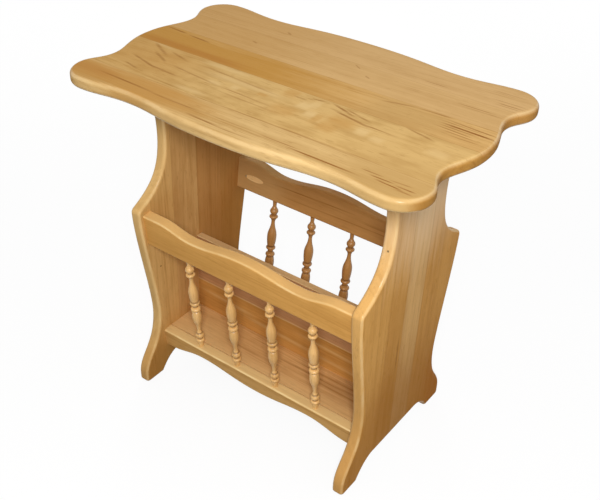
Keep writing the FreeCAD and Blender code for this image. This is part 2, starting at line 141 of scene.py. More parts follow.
def make_oak_grain():
    """Sawn oak: growth rings cut by the board's face, pores, ripple and slow tone streaks.

    Place runs along the grain, across the face and out of the face, in metres."""
    tree, given, out = new_group("oak_grain", [
        ("Place", "Vector", (0.0, 0.0, 0.0)), ("Shift", "Float", 0.0),
        ("Pith Across", "Float", 0.0), ("Pith Below", "Float", 0.05),
        ("Ring Width", "Float", 0.004), ("Taper", "Float", 0.04), ("Wander", "Float", 0.006),
        ("Light Colour", "Color", srgb(210, 172, 112)), ("Dark Colour", "Color", srgb(180, 132, 74)),
        ("Pore Colour", "Color", srgb(120, 76, 34)),
        ("Ring Strength", "Float", 0.6), ("Streak Strength", "Float", 0.5), ("Tone Strength", "Float", 0.5),
        ("Ripple Strength", "Float", 0.2), ("Pore Strength", "Float", 0.4), ("Dullness", "Float", DULLNESS),
    ], [("Colour", "Color"), ("Roughness", "Float"), ("Height", "Float")])
    place, shift = given["Place"], given["Shift"]
    shifts = put(tree, "ShaderNodeCombineXYZ", {0: shift, 1: shift, 2: shift}).outputs[0]
    offset = vector_of(tree, "MULTIPLY", shifts, SHIFT_SPREAD)
    parts = put(tree, "ShaderNodeSeparateXYZ", {0: place}).outputs

    # growth rings: cylinders about the pith that widen along the trunk and wander
    slow = noise_of(tree, place, RING_SWAY, offset, 3.0)
    quick = noise_of(tree, place, RING_SHIVER, offset, 2.0)
    spoke = put(tree, "ShaderNodeCombineXYZ",
                {0: 0.0, 1: math_of(tree, "SUBTRACT", parts[1], given["Pith Across"]),
                 2: math_of(tree, "ADD", parts[2], given["Pith Below"])}).outputs[0]
    radius = vector_of(tree, "LENGTH", spoke)
    radius = math_of(tree, "MULTIPLY_ADD", parts[0], given["Taper"], radius)
    wander = math_of(tree, "MULTIPLY", given["Wander"], 2.0)
    radius = math_of(tree, "MULTIPLY_ADD", math_of(tree, "SUBTRACT", slow, 0.5), wander, radius)
    radius = math_of(tree, "MULTIPLY_ADD", math_of(tree, "SUBTRACT", quick, 0.5), SHIVER, radius)
    count = math_of(tree, "DIVIDE", radius, given["Ring Width"])
    uneven = put(tree, "ShaderNodeTexNoise", {"W": math_of(tree, "ADD", count, shift), "Scale": 0.45,
                                              "Detail": 1.0}, noise_dimensions="1D").outputs["Fac"]
    count = math_of(tree, "MULTIPLY_ADD", uneven, UNEVEN_YEARS, count)
    phase = math_of(tree, "FRACT", count)
    darkest, ended = EARLY_WOOD
    early = math_of(tree, "MULTIPLY", smooth_step(tree, phase, 0.0, darkest),
                    smooth_step(tree, phase, darkest, ended, 1.0, 0.0))
    year = put(tree, "ShaderNodeTexWhiteNoise",
               {"W": math_of(tree, "ADD", math_of(tree, "FLOOR", count), shift)},
               noise_dimensions="1D").outputs["Value"]
    early = math_of(tree, "MULTIPLY", early, smooth_step(tree, year, 0.1, 1.0, 0.15, 1.0))
    fade = smooth_step(tree, noise_of(tree, place, RING_FADE, offset, 2.0), 0.34, 0.62, 0.3, 1.0)
    early = math_of(tree, "MULTIPLY", early, fade)

    # tone: narrow streaks, broad bands and the cross ripple of planed oak
    streak = smooth_step(tree, noise_of(tree, place, STREAKS, offset, 4.0, 0.62), 0.34, 0.68, -0.5, 0.5)
    tone = smooth_step(tree, noise_of(tree, place, BANDS, offset, 2.0), 0.3, 0.7, -0.5, 0.5)
    ripple = smooth_step(tree, noise_of(tree, place, RIPPLE, offset, 3.0), 0.3, 0.7, -0.5, 0.5)

    # pores: long open ones in the early wood, short ticks everywhere
    long_pores = smooth_step(tree, noise_of(tree, place, LONG_PORES, offset, 1.0), 0.55, 0.72)
    ticks = smooth_step(tree, noise_of(tree, place, PORE_TICKS, offset, 1.0), 0.62, 0.74)
    pores = math_of(tree, "MULTIPLY", long_pores, math_of(tree, "MULTIPLY_ADD", early, 0.8, 0.3))
    pores = math_of(tree, "MAXIMUM", pores, math_of(tree, "MULTIPLY", ticks, 0.8))

    depth = math_of(tree, "MULTIPLY_ADD", early, given["Ring Strength"], MEAN_DEPTH - RING_SHARE)
    depth = math_of(tree, "MULTIPLY_ADD", streak, given["Streak Strength"], depth)
    depth = math_of(tree, "MULTIPLY_ADD", ripple, given["Ripple Strength"], depth)
    depth = math_of(tree, "MULTIPLY_ADD", tone, given["Tone Strength"], depth, clamp=True)
    colour = mix_colour(tree, depth, given["Light Colour"], given["Dark Colour"])
    pored = math_of(tree, "MULTIPLY", pores, given["Pore Strength"])
    colour = mix_colour(tree, pored, colour, given["Pore Colour"])
    tree.links.new(colour, out["Colour"])
    rough = math_of(tree, "MULTIPLY_ADD", depth, 0.08, given["Dullness"])
    tree.links.new(math_of(tree, "MULTIPLY_ADD", pores, 0.22, rough), out["Roughness"])
    height = math_of(tree, "MULTIPLY_ADD", early, -0.25, 0.6)
    tree.links.new(math_of(tree, "MULTIPLY_ADD", pores, -0.5, height), out["Height"])
    return tree


def make_grain_waver():
    """How the grain wavers: a slow swing for the sides of marks, and fine lines that break them up."""
    tree, given, out = new_group("grain_waver", [("Place", "Vector", (0.0, 0.0, 0.0))],
                                 [("Swing", "Float"), ("Lines", "Float")])
    swing = noise_of(tree, given["Place"], MARK_SWING, (3.0, 7.0, 1.0), 4.0, 0.6)
    tree.links.new(math_of(tree, "SUBTRACT", swing, 0.5), out["Swing"])
    lines = noise_of(tree, given["Place"], MARK_LINES, (1.0, 4.0, 2.0), 2.0)
    tree.links.new(smooth_step(tree, lines, 0.40, 0.58), out["Lines"])
    return tree


def make_grain_mark():
    """One streak of other tone in the grain, from a hair line to a broad band: soft ends, ragged sides."""
    tree, given, out = new_group("grain_mark", [
        ("Place", "Vector", (0.0, 0.0, 0.0)), ("Swing", "Float", 0.0), ("Lines", "Float", 1.0),
        ("Middle", "Vector", (0.0, 0.0, 0.0)), ("Half Length", "Float", 0.03), ("Half Width", "Float", 0.001),
        ("Slope", "Float", 0.0), ("Softness", "Float", 0.6), ("Breaks", "Float", 0.5),
    ], [("Mask", "Float")])
    swing = given["Swing"]
    away = put(tree, "ShaderNodeSeparateXYZ",
               {0: vector_of(tree, "SUBTRACT", given["Place"], given["Middle"])}).outputs
    along = math_of(tree, "DIVIDE", away[0], given["Half Length"])
    across = math_of(tree, "MULTIPLY_ADD", math_of(tree, "MULTIPLY", away[0], given["Slope"]), -1.0, away[1])
    across = math_of(tree, "DIVIDE", across, given["Half Width"])
    across = math_of(tree, "ABSOLUTE", math_of(tree, "MULTIPLY_ADD", swing, 1.3, across))
    along = math_of(tree, "ABSOLUTE", math_of(tree, "MULTIPLY_ADD", swing, 0.5, along))
    inner = math_of(tree, "SUBTRACT", 1.0, given["Softness"])
    outer = math_of(tree, "ADD", 1.0, given["Softness"])
    mask = math_of(tree, "MULTIPLY", smooth_step(tree, across, inner, outer, 1.0, 0.0),
                   smooth_step(tree, along, 0.35, 1.05, 1.0, 0.0))
    gaps = math_of(tree, "SUBTRACT", given["Lines"], 1.0)
    broken = math_of(tree, "MULTIPLY_ADD", gaps, given["Breaks"], 1.0)
    tree.links.new(math_of(tree, "MULTIPLY", mask, broken), out["Mask"])
    return tree


def make_pin_knot():
    """A tiny dark knot with a soft rim."""
    tree, given, out = new_group("pin_knot", [
        ("Place", "Vector", (0.0, 0.0, 0.0)), ("Middle", "Vector", (0.0, 0.0, 0.0)),
        ("Radius", "Float", 0.0015)], [("Mask", "Float")])
    away = vector_of(tree, "DISTANCE", given["Place"], given["Middle"])
    tree.links.new(smooth_step(tree, math_of(tree, "DIVIDE", away, given["Radius"]), 0.5, 1.2, 1.0, 0.0),
                   out["Mask"])
    return tree


def make_worn_edge_and_sheen():
    """Edges paled partly by handling and partly by painted highlight where they catch the light, and the
    arrises beside them, where it shows most.
    """
    tree, given, out = new_group("worn_edge_and_sheen", [
        ("Place", "Vector", (0.0, 0.0, 0.0)), ("Face", "Vector", (0.0, 0.0, 1.0))],
        [("Edge", "Float"), ("Arris", "Float")])
    normal = put(tree, "ShaderNodeNewGeometry").outputs["Normal"]
    lean = math_of(tree, "ABSOLUTE", vector_of(tree, "DOT_PRODUCT", normal, given["Face"]))
    patchy = smooth_step(tree, noise_of(tree, given["Place"], WEAR_AND_SHEEN_PATCHES, (5.0, 2.0, 9.0), 3.0),
                         0.34, 0.62, 0.3, 1.0)
    tree.links.new(smooth_step(tree, lean, 0.78, 0.985, 1.0, 0.0), out["Edge"])
    arris = math_of(tree, "MULTIPLY", smooth_step(tree, lean, 0.15, 0.5),
                    smooth_step(tree, lean, 0.88, 0.99, 1.0, 0.0))
    tree.links.new(math_of(tree, "MULTIPLY", arris, patchy), out["Arris"])
    return tree


def make_end_grain():
    """Sawn ends drink more finish: a mask for faces that look along the grain."""
    tree, given, out = new_group("end_grain", [("Grain", "Vector", (1.0, 0.0, 0.0))], [("Mask", "Float")])
    normal = put(tree, "ShaderNodeNewGeometry").outputs["Normal"]
    lean = math_of(tree, "ABSOLUTE", vector_of(tree, "DOT_PRODUCT", normal, given["Grain"]))
    tree.links.new(smooth_step(tree, lean, 0.5, 0.95), out["Mask"])
    return tree


def make_glue_line():
    """The hair line where two boards are glued, seen close to the joint's plane."""
    tree, given, out = new_group("glue_line", [
        ("Across", "Float", 0.0), ("Joint", "Float", 0.0), ("Half Width", "Float", 0.0004)],
        [("Mask", "Float")])
    away = math_of(tree, "ABSOLUTE", math_of(tree, "SUBTRACT", given["Across"], given["Joint"]))
    tree.links.new(smooth_step(tree, math_of(tree, "DIVIDE", away, given["Half Width"]), 0.4, 1.4, 1.0, 0.0),
                   out["Mask"])
    return tree


OAK_GRAIN = make_oak_grain()
GRAIN_WAVER = make_grain_waver()
GRAIN_MARK = make_grain_mark()
PIN_KNOT = make_pin_knot()
WORN_EDGE_AND_SHEEN = make_worn_edge_and_sheen()
GLUE_LINE = make_glue_line()
END_GRAIN = make_end_grain()

# ---------------------------------------------------------------- one board of lacquered oak
PORE = srgb(132, 84, 34)
MARK = srgb(136, 82, 28)
KNOT = srgb(58, 34, 16)
# pale colour of the edges: partly wear, partly painted highlight
WEAR_AND_SHEEN = srgb(232, 202, 144)
END_TINT = (0.75, 0.58, 0.34, 1.0)    # what a sawn end's colour is multiplied by
LIGHTER = (0.055, 0.070, 0.110)   # how much red, green and blue rise from a board's tone to its light colour
DARKER = (0.115, 0.160, 0.240)    # and fall to its dark colour
GLUE_DEPTH = 0.3          # how dark a glue line is
EDGE_SHARE = 0.6          # how much of an arris's wear and painted highlight the whole edge has
GRAIN_BUMP = {"Strength": 0.2, "Distance": 0.0005}
POLISHED = 0.26           # roughness of the lacquer that shines on an arris


def new_material(name):
    material = bpy.data.materials.new(name)
    material.use_nodes = True
    material.node_tree.nodes.clear()
    return material, material.node_tree


def board_place(tree, origin, grain, across, out):
    """The surface point in the board's own frame: along the grain, across the face, out of the face."""
    point = put(tree, "ShaderNodeTexCoord").outputs["Object"]
    point = vector_of(tree, "SUBTRACT", point, tuple(origin))
    return put(tree, "ShaderNodeCombineXYZ", {
        0: vector_of(tree, "DOT_PRODUCT", point, tuple(grain)),
        1: vector_of(tree, "DOT_PRODUCT", point, tuple(across)),
        2: vector_of(tree, "DOT_PRODUCT", point, tuple(out))}).outputs[0]


def mark(along, across, half_length, half_width, slope=0.0, depth=0.6, tint=MARK, soft=0.6, breaks=0.5):
    """Where a streak lies on a board, in metres in the board's own frame, and how strongly it shows."""
    return {"Middle": (along, across, 0.0), "Half Length": half_length, "Half Width": half_width,
            "Slope": slope, "Softness": soft, "Breaks": breaks}, depth, tint


def cloud(along, across, half_length, half_width, tint, depth=0.5, slope=0.0, soft=0.9):
    """A broad soft patch of other tone."""
    return mark(along, across, half_length, half_width, slope, depth, tint, soft, 0.0)


def oak_board(name, origin, grain, across, out, tone, shift, pith=(0.0, 0.05), ring=0.004, taper=0.03,
              wander=0.006, rings=0.4, streak=0.4, bands=0.4, ripple=0.2, pores=0.3, contrast=1.0, marks=(),
              knots=(), joints=(), wear_and_sheen=0.4, sawn=0.0, gloss=0.15, dull=DULLNESS, shine=0.0):
    """One lacquered oak board of the given mean tone.

    shift picks the board's own piece of grain. pith is where the tree's centre ran: across the face, and
    below it. ring is a year's growth. marks come from mark() and cloud(); knots are (along, across, out,
    radius); joints are glue lines across the face. rubbed is how pale the edges are, sawn how dark the
    ends, dull how matt the faces, and shine how much lacquer lies on the arrises."""
    material, tree = new_material(name)
    place = board_place(tree, origin, grain, across, out)
    light = srgb(*(level * (1 + share * contrast) for level, share in zip(tone, LIGHTER)))
    dark = srgb(*(level * (1 - share * contrast) for level, share in zip(tone, DARKER)))
    grown = place_group(tree, OAK_GRAIN, {
        "Place": place, "Shift": shift, "Pith Across": pith[0], "Pith Below": pith[1],
        "Ring Width": ring, "Taper": taper, "Wander": wander, "Light Colour": light,
        "Dark Colour": dark, "Pore Colour": PORE, "Ring Strength": rings, "Streak Strength": streak,
        "Tone Strength": bands, "Ripple Strength": ripple, "Pore Strength": pores, "Dullness": dull})
    colour, lacquer = grown["Colour"], 0.0
    if marks:
        waver = place_group(tree, GRAIN_WAVER, {"Place": place})
    for spot, depth, tint in marks:
        mask = place_group(tree, GRAIN_MARK, {"Place": place, "Swing": waver["Swing"],
                                              "Lines": waver["Lines"], **spot})["Mask"]
        colour = mix_colour(tree, math_of(tree, "MULTIPLY", mask, depth), colour, tint)
    for *middle, radius in knots:
        mask = place_group(tree, PIN_KNOT, {"Place": place, "Middle": middle, "Radius": radius})["Mask"]
        colour = mix_colour(tree, mask, colour, KNOT)
    if joints:
        sideways = put(tree, "ShaderNodeSeparateXYZ", {0: place}).outputs[1]
        for joint in joints:
            mask = place_group(tree, GLUE_LINE, {"Across": sideways, "Joint": joint})["Mask"]
            colour = mix_colour(tree, math_of(tree, "MULTIPLY", mask, GLUE_DEPTH), colour, MARK)
    # pale edges and arrises: partly wear from handling, partly painted highlight where the edges catch the
    # light
    if wear_and_sheen:
        edge_wear_and_sheen = place_group(tree, WORN_EDGE_AND_SHEEN, {"Place": place, "Face": tuple(out)})
        for part, pale in (("Edge", wear_and_sheen * EDGE_SHARE), ("Arris", wear_and_sheen)):
            colour = mix_colour(tree, math_of(tree, "MULTIPLY", edge_wear_and_sheen[part], pale), colour, WEAR_AND_SHEEN)
        if shine:
            lacquer = math_of(tree, "MULTIPLY", edge_wear_and_sheen["Arris"], shine)
    if sawn:
        ends = place_group(tree, END_GRAIN, {"Grain": tuple(grain)})["Mask"]
        colour = mix_colour(tree, math_of(tree, "MULTIPLY", ends, sawn), colour, END_TINT, "MULTIPLY")
    bump = put(tree, "ShaderNodeBump", {**GRAIN_BUMP, "Height": grown["Height"]})
    shader = put(tree, "ShaderNodeBsdfPrincipled", {
        "Base Color": colour, "Roughness": grown["Roughness"], "Normal": bump.outputs[0],
        "Specular IOR Level": gloss, "Coat Weight": lacquer, "Coat Roughness": POLISHED})
    put(tree, "ShaderNodeOutputMaterial", {"Surface": shader.outputs[0]})
    return material


def dress(node, material):
    data = nodes[node].data
    data.materials.clear()
    data.materials.append(material)


# ---------------------------------------------------------------- table top: five boards, grain lengthwise
BROWN = srgb(190, 140, 72)
DEEP_BROWN = srgb(178, 122, 56)
CREAM = srgb(218, 184, 126)
HONEY = srgb(184, 146, 88)
AMBER = srgb(187, 136, 60)
UMBER = srgb(142, 99, 58)
# painted shade: darkens the top's near corner, where the lamp beside the camera lights it most
NEAR_CORNER_SHADE = cloud(0.260, -0.140, 0.13, 0.050, HONEY, 0.8)
TOP_FINISH = dict(wear_and_sheen=0.2, sawn=1.0, gloss=0.05, dull=0.62, shine=0.9)
TOP_BOARDS = {
    "top_board_1": dict(
        tone=(201, 164, 105), shift=11.0, pith=(-0.40, 0.10), ring=0.0042, taper=0.02,
        joints=TOP_JOINTS[:1], marks=[
            cloud(-0.200, -0.138, 0.21, 0.024, BROWN, 0.85, soft=0.5),
            cloud(-0.240, -0.136, 0.06, 0.010, DEEP_BROWN, 0.5), NEAR_CORNER_SHADE,
            mark(-0.175, -0.1360, 0.060, 0.0016, -0.04, 0.7),
            mark(-0.090, -0.1410, 0.050, 0.0014, -0.02, 0.5),
            mark(-0.030, -0.1560, 0.032, 0.0014, -0.08, 0.6),
            mark(0.022, -0.1585, 0.034, 0.0013, 0.02, 0.5),
            mark(0.140, -0.1465, 0.055, 0.0011, -0.02, 0.9, breaks=0.2),
            mark(0.075, -0.1420, 0.034, 0.0009, 0.0, 0.5),
            mark(0.200, -0.1330, 0.016, 0.0009, -0.02, 0.7), mark(0.236, -0.1340, 0.016, 0.0009, 0.03, 0.7),
            mark(0.214, -0.1385, 0.018, 0.0010, 0.0, 0.8), mark(0.246, -0.1410, 0.016, 0.0010, -0.03, 0.8),
            mark(0.226, -0.1440, 0.020, 0.0011, -0.08, 0.9),
            mark(0.247, -0.1475, 0.014, 0.0010, -0.05, 0.8)]),
    "top_board_2": dict(
        tone=(198, 160, 98), shift=4.3, pith=(-0.066, 0.034), ring=0.0064, taper=-0.06, wander=0.012,
        rings=0.35, streak=0.35, ripple=0.5, joints=TOP_JOINTS[:2], marks=[
            cloud(-0.250, -0.055, 0.17, 0.055, BROWN, 0.55), cloud(-0.100, -0.024, 0.048, 0.004, CREAM, 0.6),
            cloud(-0.050, -0.048, 0.080, 0.005, CREAM, 0.6), cloud(-0.085, -0.067, 0.014, 0.004, CREAM, 0.6),
            cloud(-0.055, -0.062, 0.008, 0.005, CREAM, 0.6), cloud(0.045, -0.046, 0.012, 0.009, CREAM, 0.8),
            cloud(0.063, -0.061, 0.010, 0.008, CREAM, 0.8), cloud(0.138, -0.060, 0.011, 0.008, CREAM, 0.8),
            cloud(0.105, -0.056, 0.026, 0.012, BROWN, 0.55), cloud(0.030, -0.074, 0.024, 0.010, BROWN, 0.45),
            cloud(-0.218, -0.020, 0.030, 0.003, CREAM, 0.4, -0.15),
            cloud(0.055, -0.038, 0.008, 0.010, CREAM, 0.6),
            cloud(0.012, -0.028, 0.014, 0.010, BROWN, 0.5), cloud(0.098, -0.078, 0.018, 0.009, BROWN, 0.5),
            cloud(0.076, -0.066, 0.007, 0.012, BROWN, 0.45), cloud(0.162, -0.066, 0.012, 0.006, CREAM, 0.6),
            cloud(0.235, -0.052, 0.018, 0.008, CREAM, 0.5), cloud(-0.015, -0.056, 0.010, 0.004, BROWN, 0.5),
            cloud(-0.095, -0.104, 0.030, 0.004, CREAM, 0.5), NEAR_CORNER_SHADE,
            mark(-0.213, -0.031, 0.024, 0.0024, -0.55, 0.5, soft=0.9),
            mark(-0.196, -0.051, 0.020, 0.0022, -0.5, 0.5),
            mark(-0.176, -0.034, 0.022, 0.0018, -0.3, 0.45),
            mark(-0.205, -0.0745, 0.032, 0.0017, -0.28, 0.6),
            mark(-0.165, -0.0815, 0.034, 0.0018, -0.06, 0.55),
            mark(-0.208, -0.0955, 0.016, 0.0015, -0.25, 0.55),
            mark(-0.065, -0.0410, 0.075, 0.0016, -0.07, 0.45),
            mark(-0.120, -0.0665, 0.055, 0.0015, -0.12, 0.45),
            mark(-0.030, -0.0735, 0.055, 0.0015, -0.05, 0.45),
            mark(-0.020, -0.0840, 0.055, 0.0014, -0.03, 0.35),
            mark(0.090, -0.0270, 0.024, 0.0018, -0.34, 0.7), mark(0.109, -0.0400, 0.036, 0.0019, -0.22, 0.7),
            mark(0.112, -0.0285, 0.024, 0.0016, -0.26, 0.6),
            mark(0.152, -0.0445, 0.032, 0.0014, -0.05, 0.6), mark(0.048, -0.0245, 0.014, 0.0014, 0.3, 0.5),
            mark(0.028, -0.0330, 0.012, 0.0014, 0.0, 0.4), mark(0.195, -0.0225, 0.026, 0.0014, -0.22, 0.6),
            mark(0.070, -0.1125, 0.150, 0.0009, 0.0, 0.5)]),
    "top_board_3": dict(
        tone=(202, 160, 98), shift=7.9, pith=(0.30, 0.16), ring=0.0046, contrast=0.8,
        joints=TOP_JOINTS[1:3], marks=[
            cloud(-0.185, 0.006, 0.31, 0.034, AMBER, 0.85, soft=0.5),
            cloud(0.160, 0.010, 0.075, 0.034, HONEY, 0.5),
            cloud(-0.180, -0.010, 0.13, 0.009, DEEP_BROWN, 0.8),
            mark(-0.243, 0.0340, 0.024, 0.0014, -0.08, 0.7), mark(-0.195, 0.0295, 0.026, 0.0016, -0.08, 0.65),
            mark(0.135, 0.0320, 0.026, 0.0017, 0.25, 0.5), mark(0.182, 0.0375, 0.030, 0.0012, 0.03, 0.65),
            mark(0.236, 0.0295, 0.040, 0.0011, -0.07, 0.8), mark(0.228, 0.0255, 0.036, 0.0009, -0.04, 0.6),
            mark(0.236, 0.0195, 0.044, 0.0016, -0.03, 0.95, breaks=0.1),
            mark(0.226, 0.0150, 0.030, 0.0010, -0.02, 0.6), mark(0.222, 0.0095, 0.030, 0.0010, -0.06, 0.6),
            mark(0.232, 0.0040, 0.030, 0.0009, -0.04, 0.5), mark(0.240, -0.0025, 0.024, 0.0009, 0.0, 0.45)]),
    "top_board_4": dict(
        tone=(204, 164, 107), shift=2.6, pith=(0.42, 0.20), ring=0.0044, pores=0.15, contrast=0.5,
        joints=TOP_JOINTS[2:], marks=[
            cloud(-0.280, 0.070, 0.30, 0.090, BROWN, 0.35), mark(-0.127, 0.0700, 0.006, 0.0016, -0.4, 0.45),
            mark(0.032, 0.0920, 0.007, 0.0012, -0.6, 0.5), mark(0.060, 0.0720, 0.006, 0.0012, -0.4, 0.5),
            mark(0.216, 0.0800, 0.030, 0.0008, 0.0, 0.5), mark(0.228, 0.0755, 0.028, 0.0008, 0.0, 0.45)]),
    "top_board_5": dict(
        tone=(204, 164, 108), shift=15.2, pith=(0.52, 0.14), ring=0.0040, pores=0.15, contrast=0.5,
        joints=TOP_JOINTS[3:], marks=[
            cloud(-0.280, 0.130, 0.30, 0.090, BROWN, 0.35), mark(-0.108, 0.1260, 0.006, 0.0016, -0.4, 0.45),
            mark(0.140, 0.1110, 0.022, 0.0008, 0.0, 0.55), mark(0.240, 0.1190, 0.026, 0.0008, 0.0, 0.55),
            mark(0.246, 0.1120, 0.020, 0.0009, 0.0, 0.6), mark(0.232, 0.1420, 0.030, 0.0008, 0.0, 0.5),
            mark(0.245, 0.1075, 0.018, 0.0008, 0.0, 0.5)]),
}
for name, look in TOP_BOARDS.items():
    dress(name, oak_board("oak_" + name, UPWARD * TOP_FACE, *LEVEL, **TOP_FINISH, **look))

# ---------------------------------------------------------------- end panels: four boards each, grain upright
# mostly painted shade on the panels' feet and inside the rack; in one band the wood's own darker tone
DARK_TONE_AND_PAINTED_SHADE = srgb(162, 100, 18)
# painted shade at the right panel's rear foot
PAINTED_REAR_FOOT_SHADE = srgb(172, 102, 4)
# painted light on the right panel's neck, just under the top
PAINTED_NECK_LIGHT = srgb(250, 216, 172)
PANEL_GROWTH = dict(ring=0.0045, rings=0.35, streak=0.5, contrast=0.8)
PANEL_FINISH = dict(wear_and_sheen=0.35, gloss=0.01, shine=0.6)
PANEL_BOARDS = {
    "left_panel_board_1": dict(tone=(205, 161, 97), shift=21.0, pith=(-0.30, 0.09),
                               knots=[(0.2121, -0.0908, -0.018, 0.0014)]),
    "left_panel_board_2": dict(tone=(202, 157, 97), shift=23.5, pith=(-0.02, 0.05)),
    "left_panel_board_3": dict(tone=(181, 131, 73), shift=26.1, pith=(0.25, 0.10)),
    "left_panel_board_4": dict(tone=(176, 127, 68), shift=28.4, pith=(0.30, 0.12)),
    "right_panel_board_1": dict(tone=(210, 155, 81), shift=31.3, pith=(-0.30, 0.10),
                                knots=[(0.3935, -0.0675, -0.0078, 0.0017)]),
    "right_panel_board_2": dict(tone=(208, 153, 79), shift=33.8, pith=(-0.03, 0.06)),
    "right_panel_board_3": dict(tone=(212, 165, 101), shift=36.7, pith=(0.30, 0.14)),
    "right_panel_board_4": dict(tone=(204, 148, 75), shift=39.2, pith=(0.35, 0.12)),
}
PANEL_TONE_LIGHT_AND_SHADE = {
    "left": [
        # painted shade: the left foot darker, a painted shadow inside the rack towards the back, and shade
        # just above the front rail
        cloud(0.0, 0.0, 0.12, 0.30, DARK_TONE_AND_PAINTED_SHADE, 0.6, soft=0.5),
        cloud(0.20, 0.075, 0.11, 0.060, DARK_TONE_AND_PAINTED_SHADE, 0.35),
        cloud(0.305, -0.070, 0.045, 0.030, DARK_TONE_AND_PAINTED_SHADE, 0.2)],
    "right": [
        # painted shade at the right foot and rear foot, painted light on the neck; the dark band on the
        # second board is the wood's own tone, the short mark is grain
        cloud(0.0, 0.0, 0.24, 0.30, DARK_TONE_AND_PAINTED_SHADE, 0.6, soft=0.5),
        cloud(0.03, 0.120, 0.12, 0.035, PAINTED_REAR_FOOT_SHADE, 0.75),
        cloud(0.54, 0.020, 0.24, 0.075, PAINTED_NECK_LIGHT, 0.85), cloud(0.20, -0.036, 0.17, 0.022, DARK_TONE_AND_PAINTED_SHADE, 0.3),
        mark(0.195, -0.022, 0.035, 0.0020, 0.0, 0.5)],
}
for name, look in PANEL_BOARDS.items():
    side = name.split("_")[0]
    outward = ALONG * (1 if side == "right" else -1)
    dress(name, oak_board("oak_" + name, outward * PANEL_OUTER, UPWARD, BACKWARD, outward,
                          joints=PANEL_JOINTS[side], marks=PANEL_TONE_LIGHT_AND_SHADE[side],
                          **PANEL_GROWTH, **PANEL_FINISH, **look))

# ---------------------------------------------------------------- rack: floor, divider, aprons
FLOOR_TONE = (204, 158, 101)
FLOOR_BOARDS = {"floor_board_1": dict(shift=41.0, pith=(-0.25, 0.10)),
                "floor_board_2": dict(shift=44.0, pith=(0.05, 0.04))}
FLOOR_STRIPES_LIGHT_AND_SHADE = [
    # the umber patch at the back right is partly the wood's darker tone and partly painted shade; the hair
    # marks are grain
    cloud(0.17, -0.02, 0.10, 0.035, UMBER, 0.45),
    mark(0.11, -0.021, 0.10, 0.0020, 0.0, 0.6), mark(0.08, -0.031, 0.10, 0.0022, 0.01, 0.6),
    mark(0.13, -0.040, 0.08, 0.0018, -0.01, 0.55), mark(-0.03, -0.048, 0.08, 0.0018, 0.02, 0.4),
    # painted light: the cream patches make the floor paler at its front and at the left
    cloud(-0.02, -0.078, 0.34, 0.016, CREAM, 0.25), cloud(-0.16, -0.055, 0.10, 0.030, CREAM, 0.3)]
for name, look in FLOOR_BOARDS.items():
    dress(name, oak_board("oak_" + name, UPWARD * FLOOR_FACE, *LEVEL, tone=FLOOR_TONE, ring=0.005, streak=0.5,
                          joints=FLOOR_JOINTS, marks=FLOOR_STRIPES_LIGHT_AND_SHADE, gloss=0.02, **look))

DIVIDER_BOARDS = {"divider_board_1": dict(tone=(186, 131, 66), shift=51.0),
                  # the upper board's darker mauve tone is partly painted shadow of the front rail
                  "divider_board_2": dict(tone=(186, 135, 90), shift=54.0)}
DIVIDER_STREAKS_AND_HIGHLIGHT = [
    # painted highlight: a light line along the joint between the two boards; the streaks below are grain
    cloud(0.0, 0.1405, 0.6, 0.0012, CREAM, 0.5, soft=0.5),
    cloud(-0.12, 0.119, 0.07, 0.0030, CREAM, 0.3, -0.05),
    cloud(-0.02, 0.106, 0.09, 0.0030, CREAM, 0.3, -0.04),
    cloud(0.08, 0.124, 0.07, 0.0026, CREAM, 0.3, -0.05),
    cloud(0.10, 0.101, 0.06, 0.0030, CREAM, 0.25, -0.03)]
for name, look in DIVIDER_BOARDS.items():
    dress(name, oak_board("oak_" + name, MIDDLE, ALONG, UPWARD, -BACKWARD, pith=(-0.3, 0.1), ring=0.005,
                          streak=0.5, marks=DIVIDER_STREAKS_AND_HIGHLIGHT, wear_and_sheen=0.8, gloss=0.02, **look))

APRON_TONE = (196, 150, 86)
for name, shift, facing in (("front_apron", 61.0, -1), ("back_apron", 64.0, 1)):
    dress(name, oak_board("oak_" + name, UPWARD * FLOOR_FACE, ALONG, UPWARD, BACKWARD * facing,
                          tone=APRON_TONE, shift=shift, pith=(-0.3, 0.1), rings=0.35, wear_and_sheen=0.8,
                          gloss=0.03, shine=0.6))

# ---------------------------------------------------------------- gates: rails and turned spindles
# the back rail's darker tone is partly painted shade under the table top, and its edges are left unpaled for
# the same shade
RAIL_TONES_AND_SHADE = {"front": (214, 159, 84), "back": (182, 133, 75)}
RAIL_WEAR_AND_SHEEN = {"front": 0.55, "back": 0.0}
RAIL_GROWTH = dict(pith=(0.10, 0.06), ring=0.006, taper=0.02, rings=0.25, streak=0.3, pores=0.2)
RAIL_LINES = {
    "front": [cloud(-0.10, 0.20, 0.16, 0.020, BROWN, 0.3)],
    # painted light: the cream patch lightens the back rail's left end; the hair marks are grain
    "back": [cloud(-0.165, 0.210, 0.10, 0.060, CREAM, 0.35), mark(0.02, 0.200, 0.13, 0.0010, 0.02, 0.6),
             mark(-0.04, 0.214, 0.10, 0.0010, 0.03, 0.6), mark(0.11, 0.208, 0.08, 0.0010, 0.0, 0.5)],
}
# the back spindles' darker tone is painted shade under the table top
SPINDLE_TONES_AND_SHADE = {"front": (216, 169, 102), "back": (172, 124, 68)}
SPINDLE_GROWTH = dict(pith=(0.03, 0.03), ring=0.0035, pores=0.2, contrast=0.8)
SPINDLE_SHIFT = 1.7               # from one spindle's grain to the next one's
GROOVE_SHADE = srgb(104, 62, 24)      # painted shade in the grooves between the beads
GROOVES = (0.0115, 0.0184, 0.0296, 0.0776, 0.0874, 0.0972, 0.1486, 0.1555)   # up from a spindle's foot
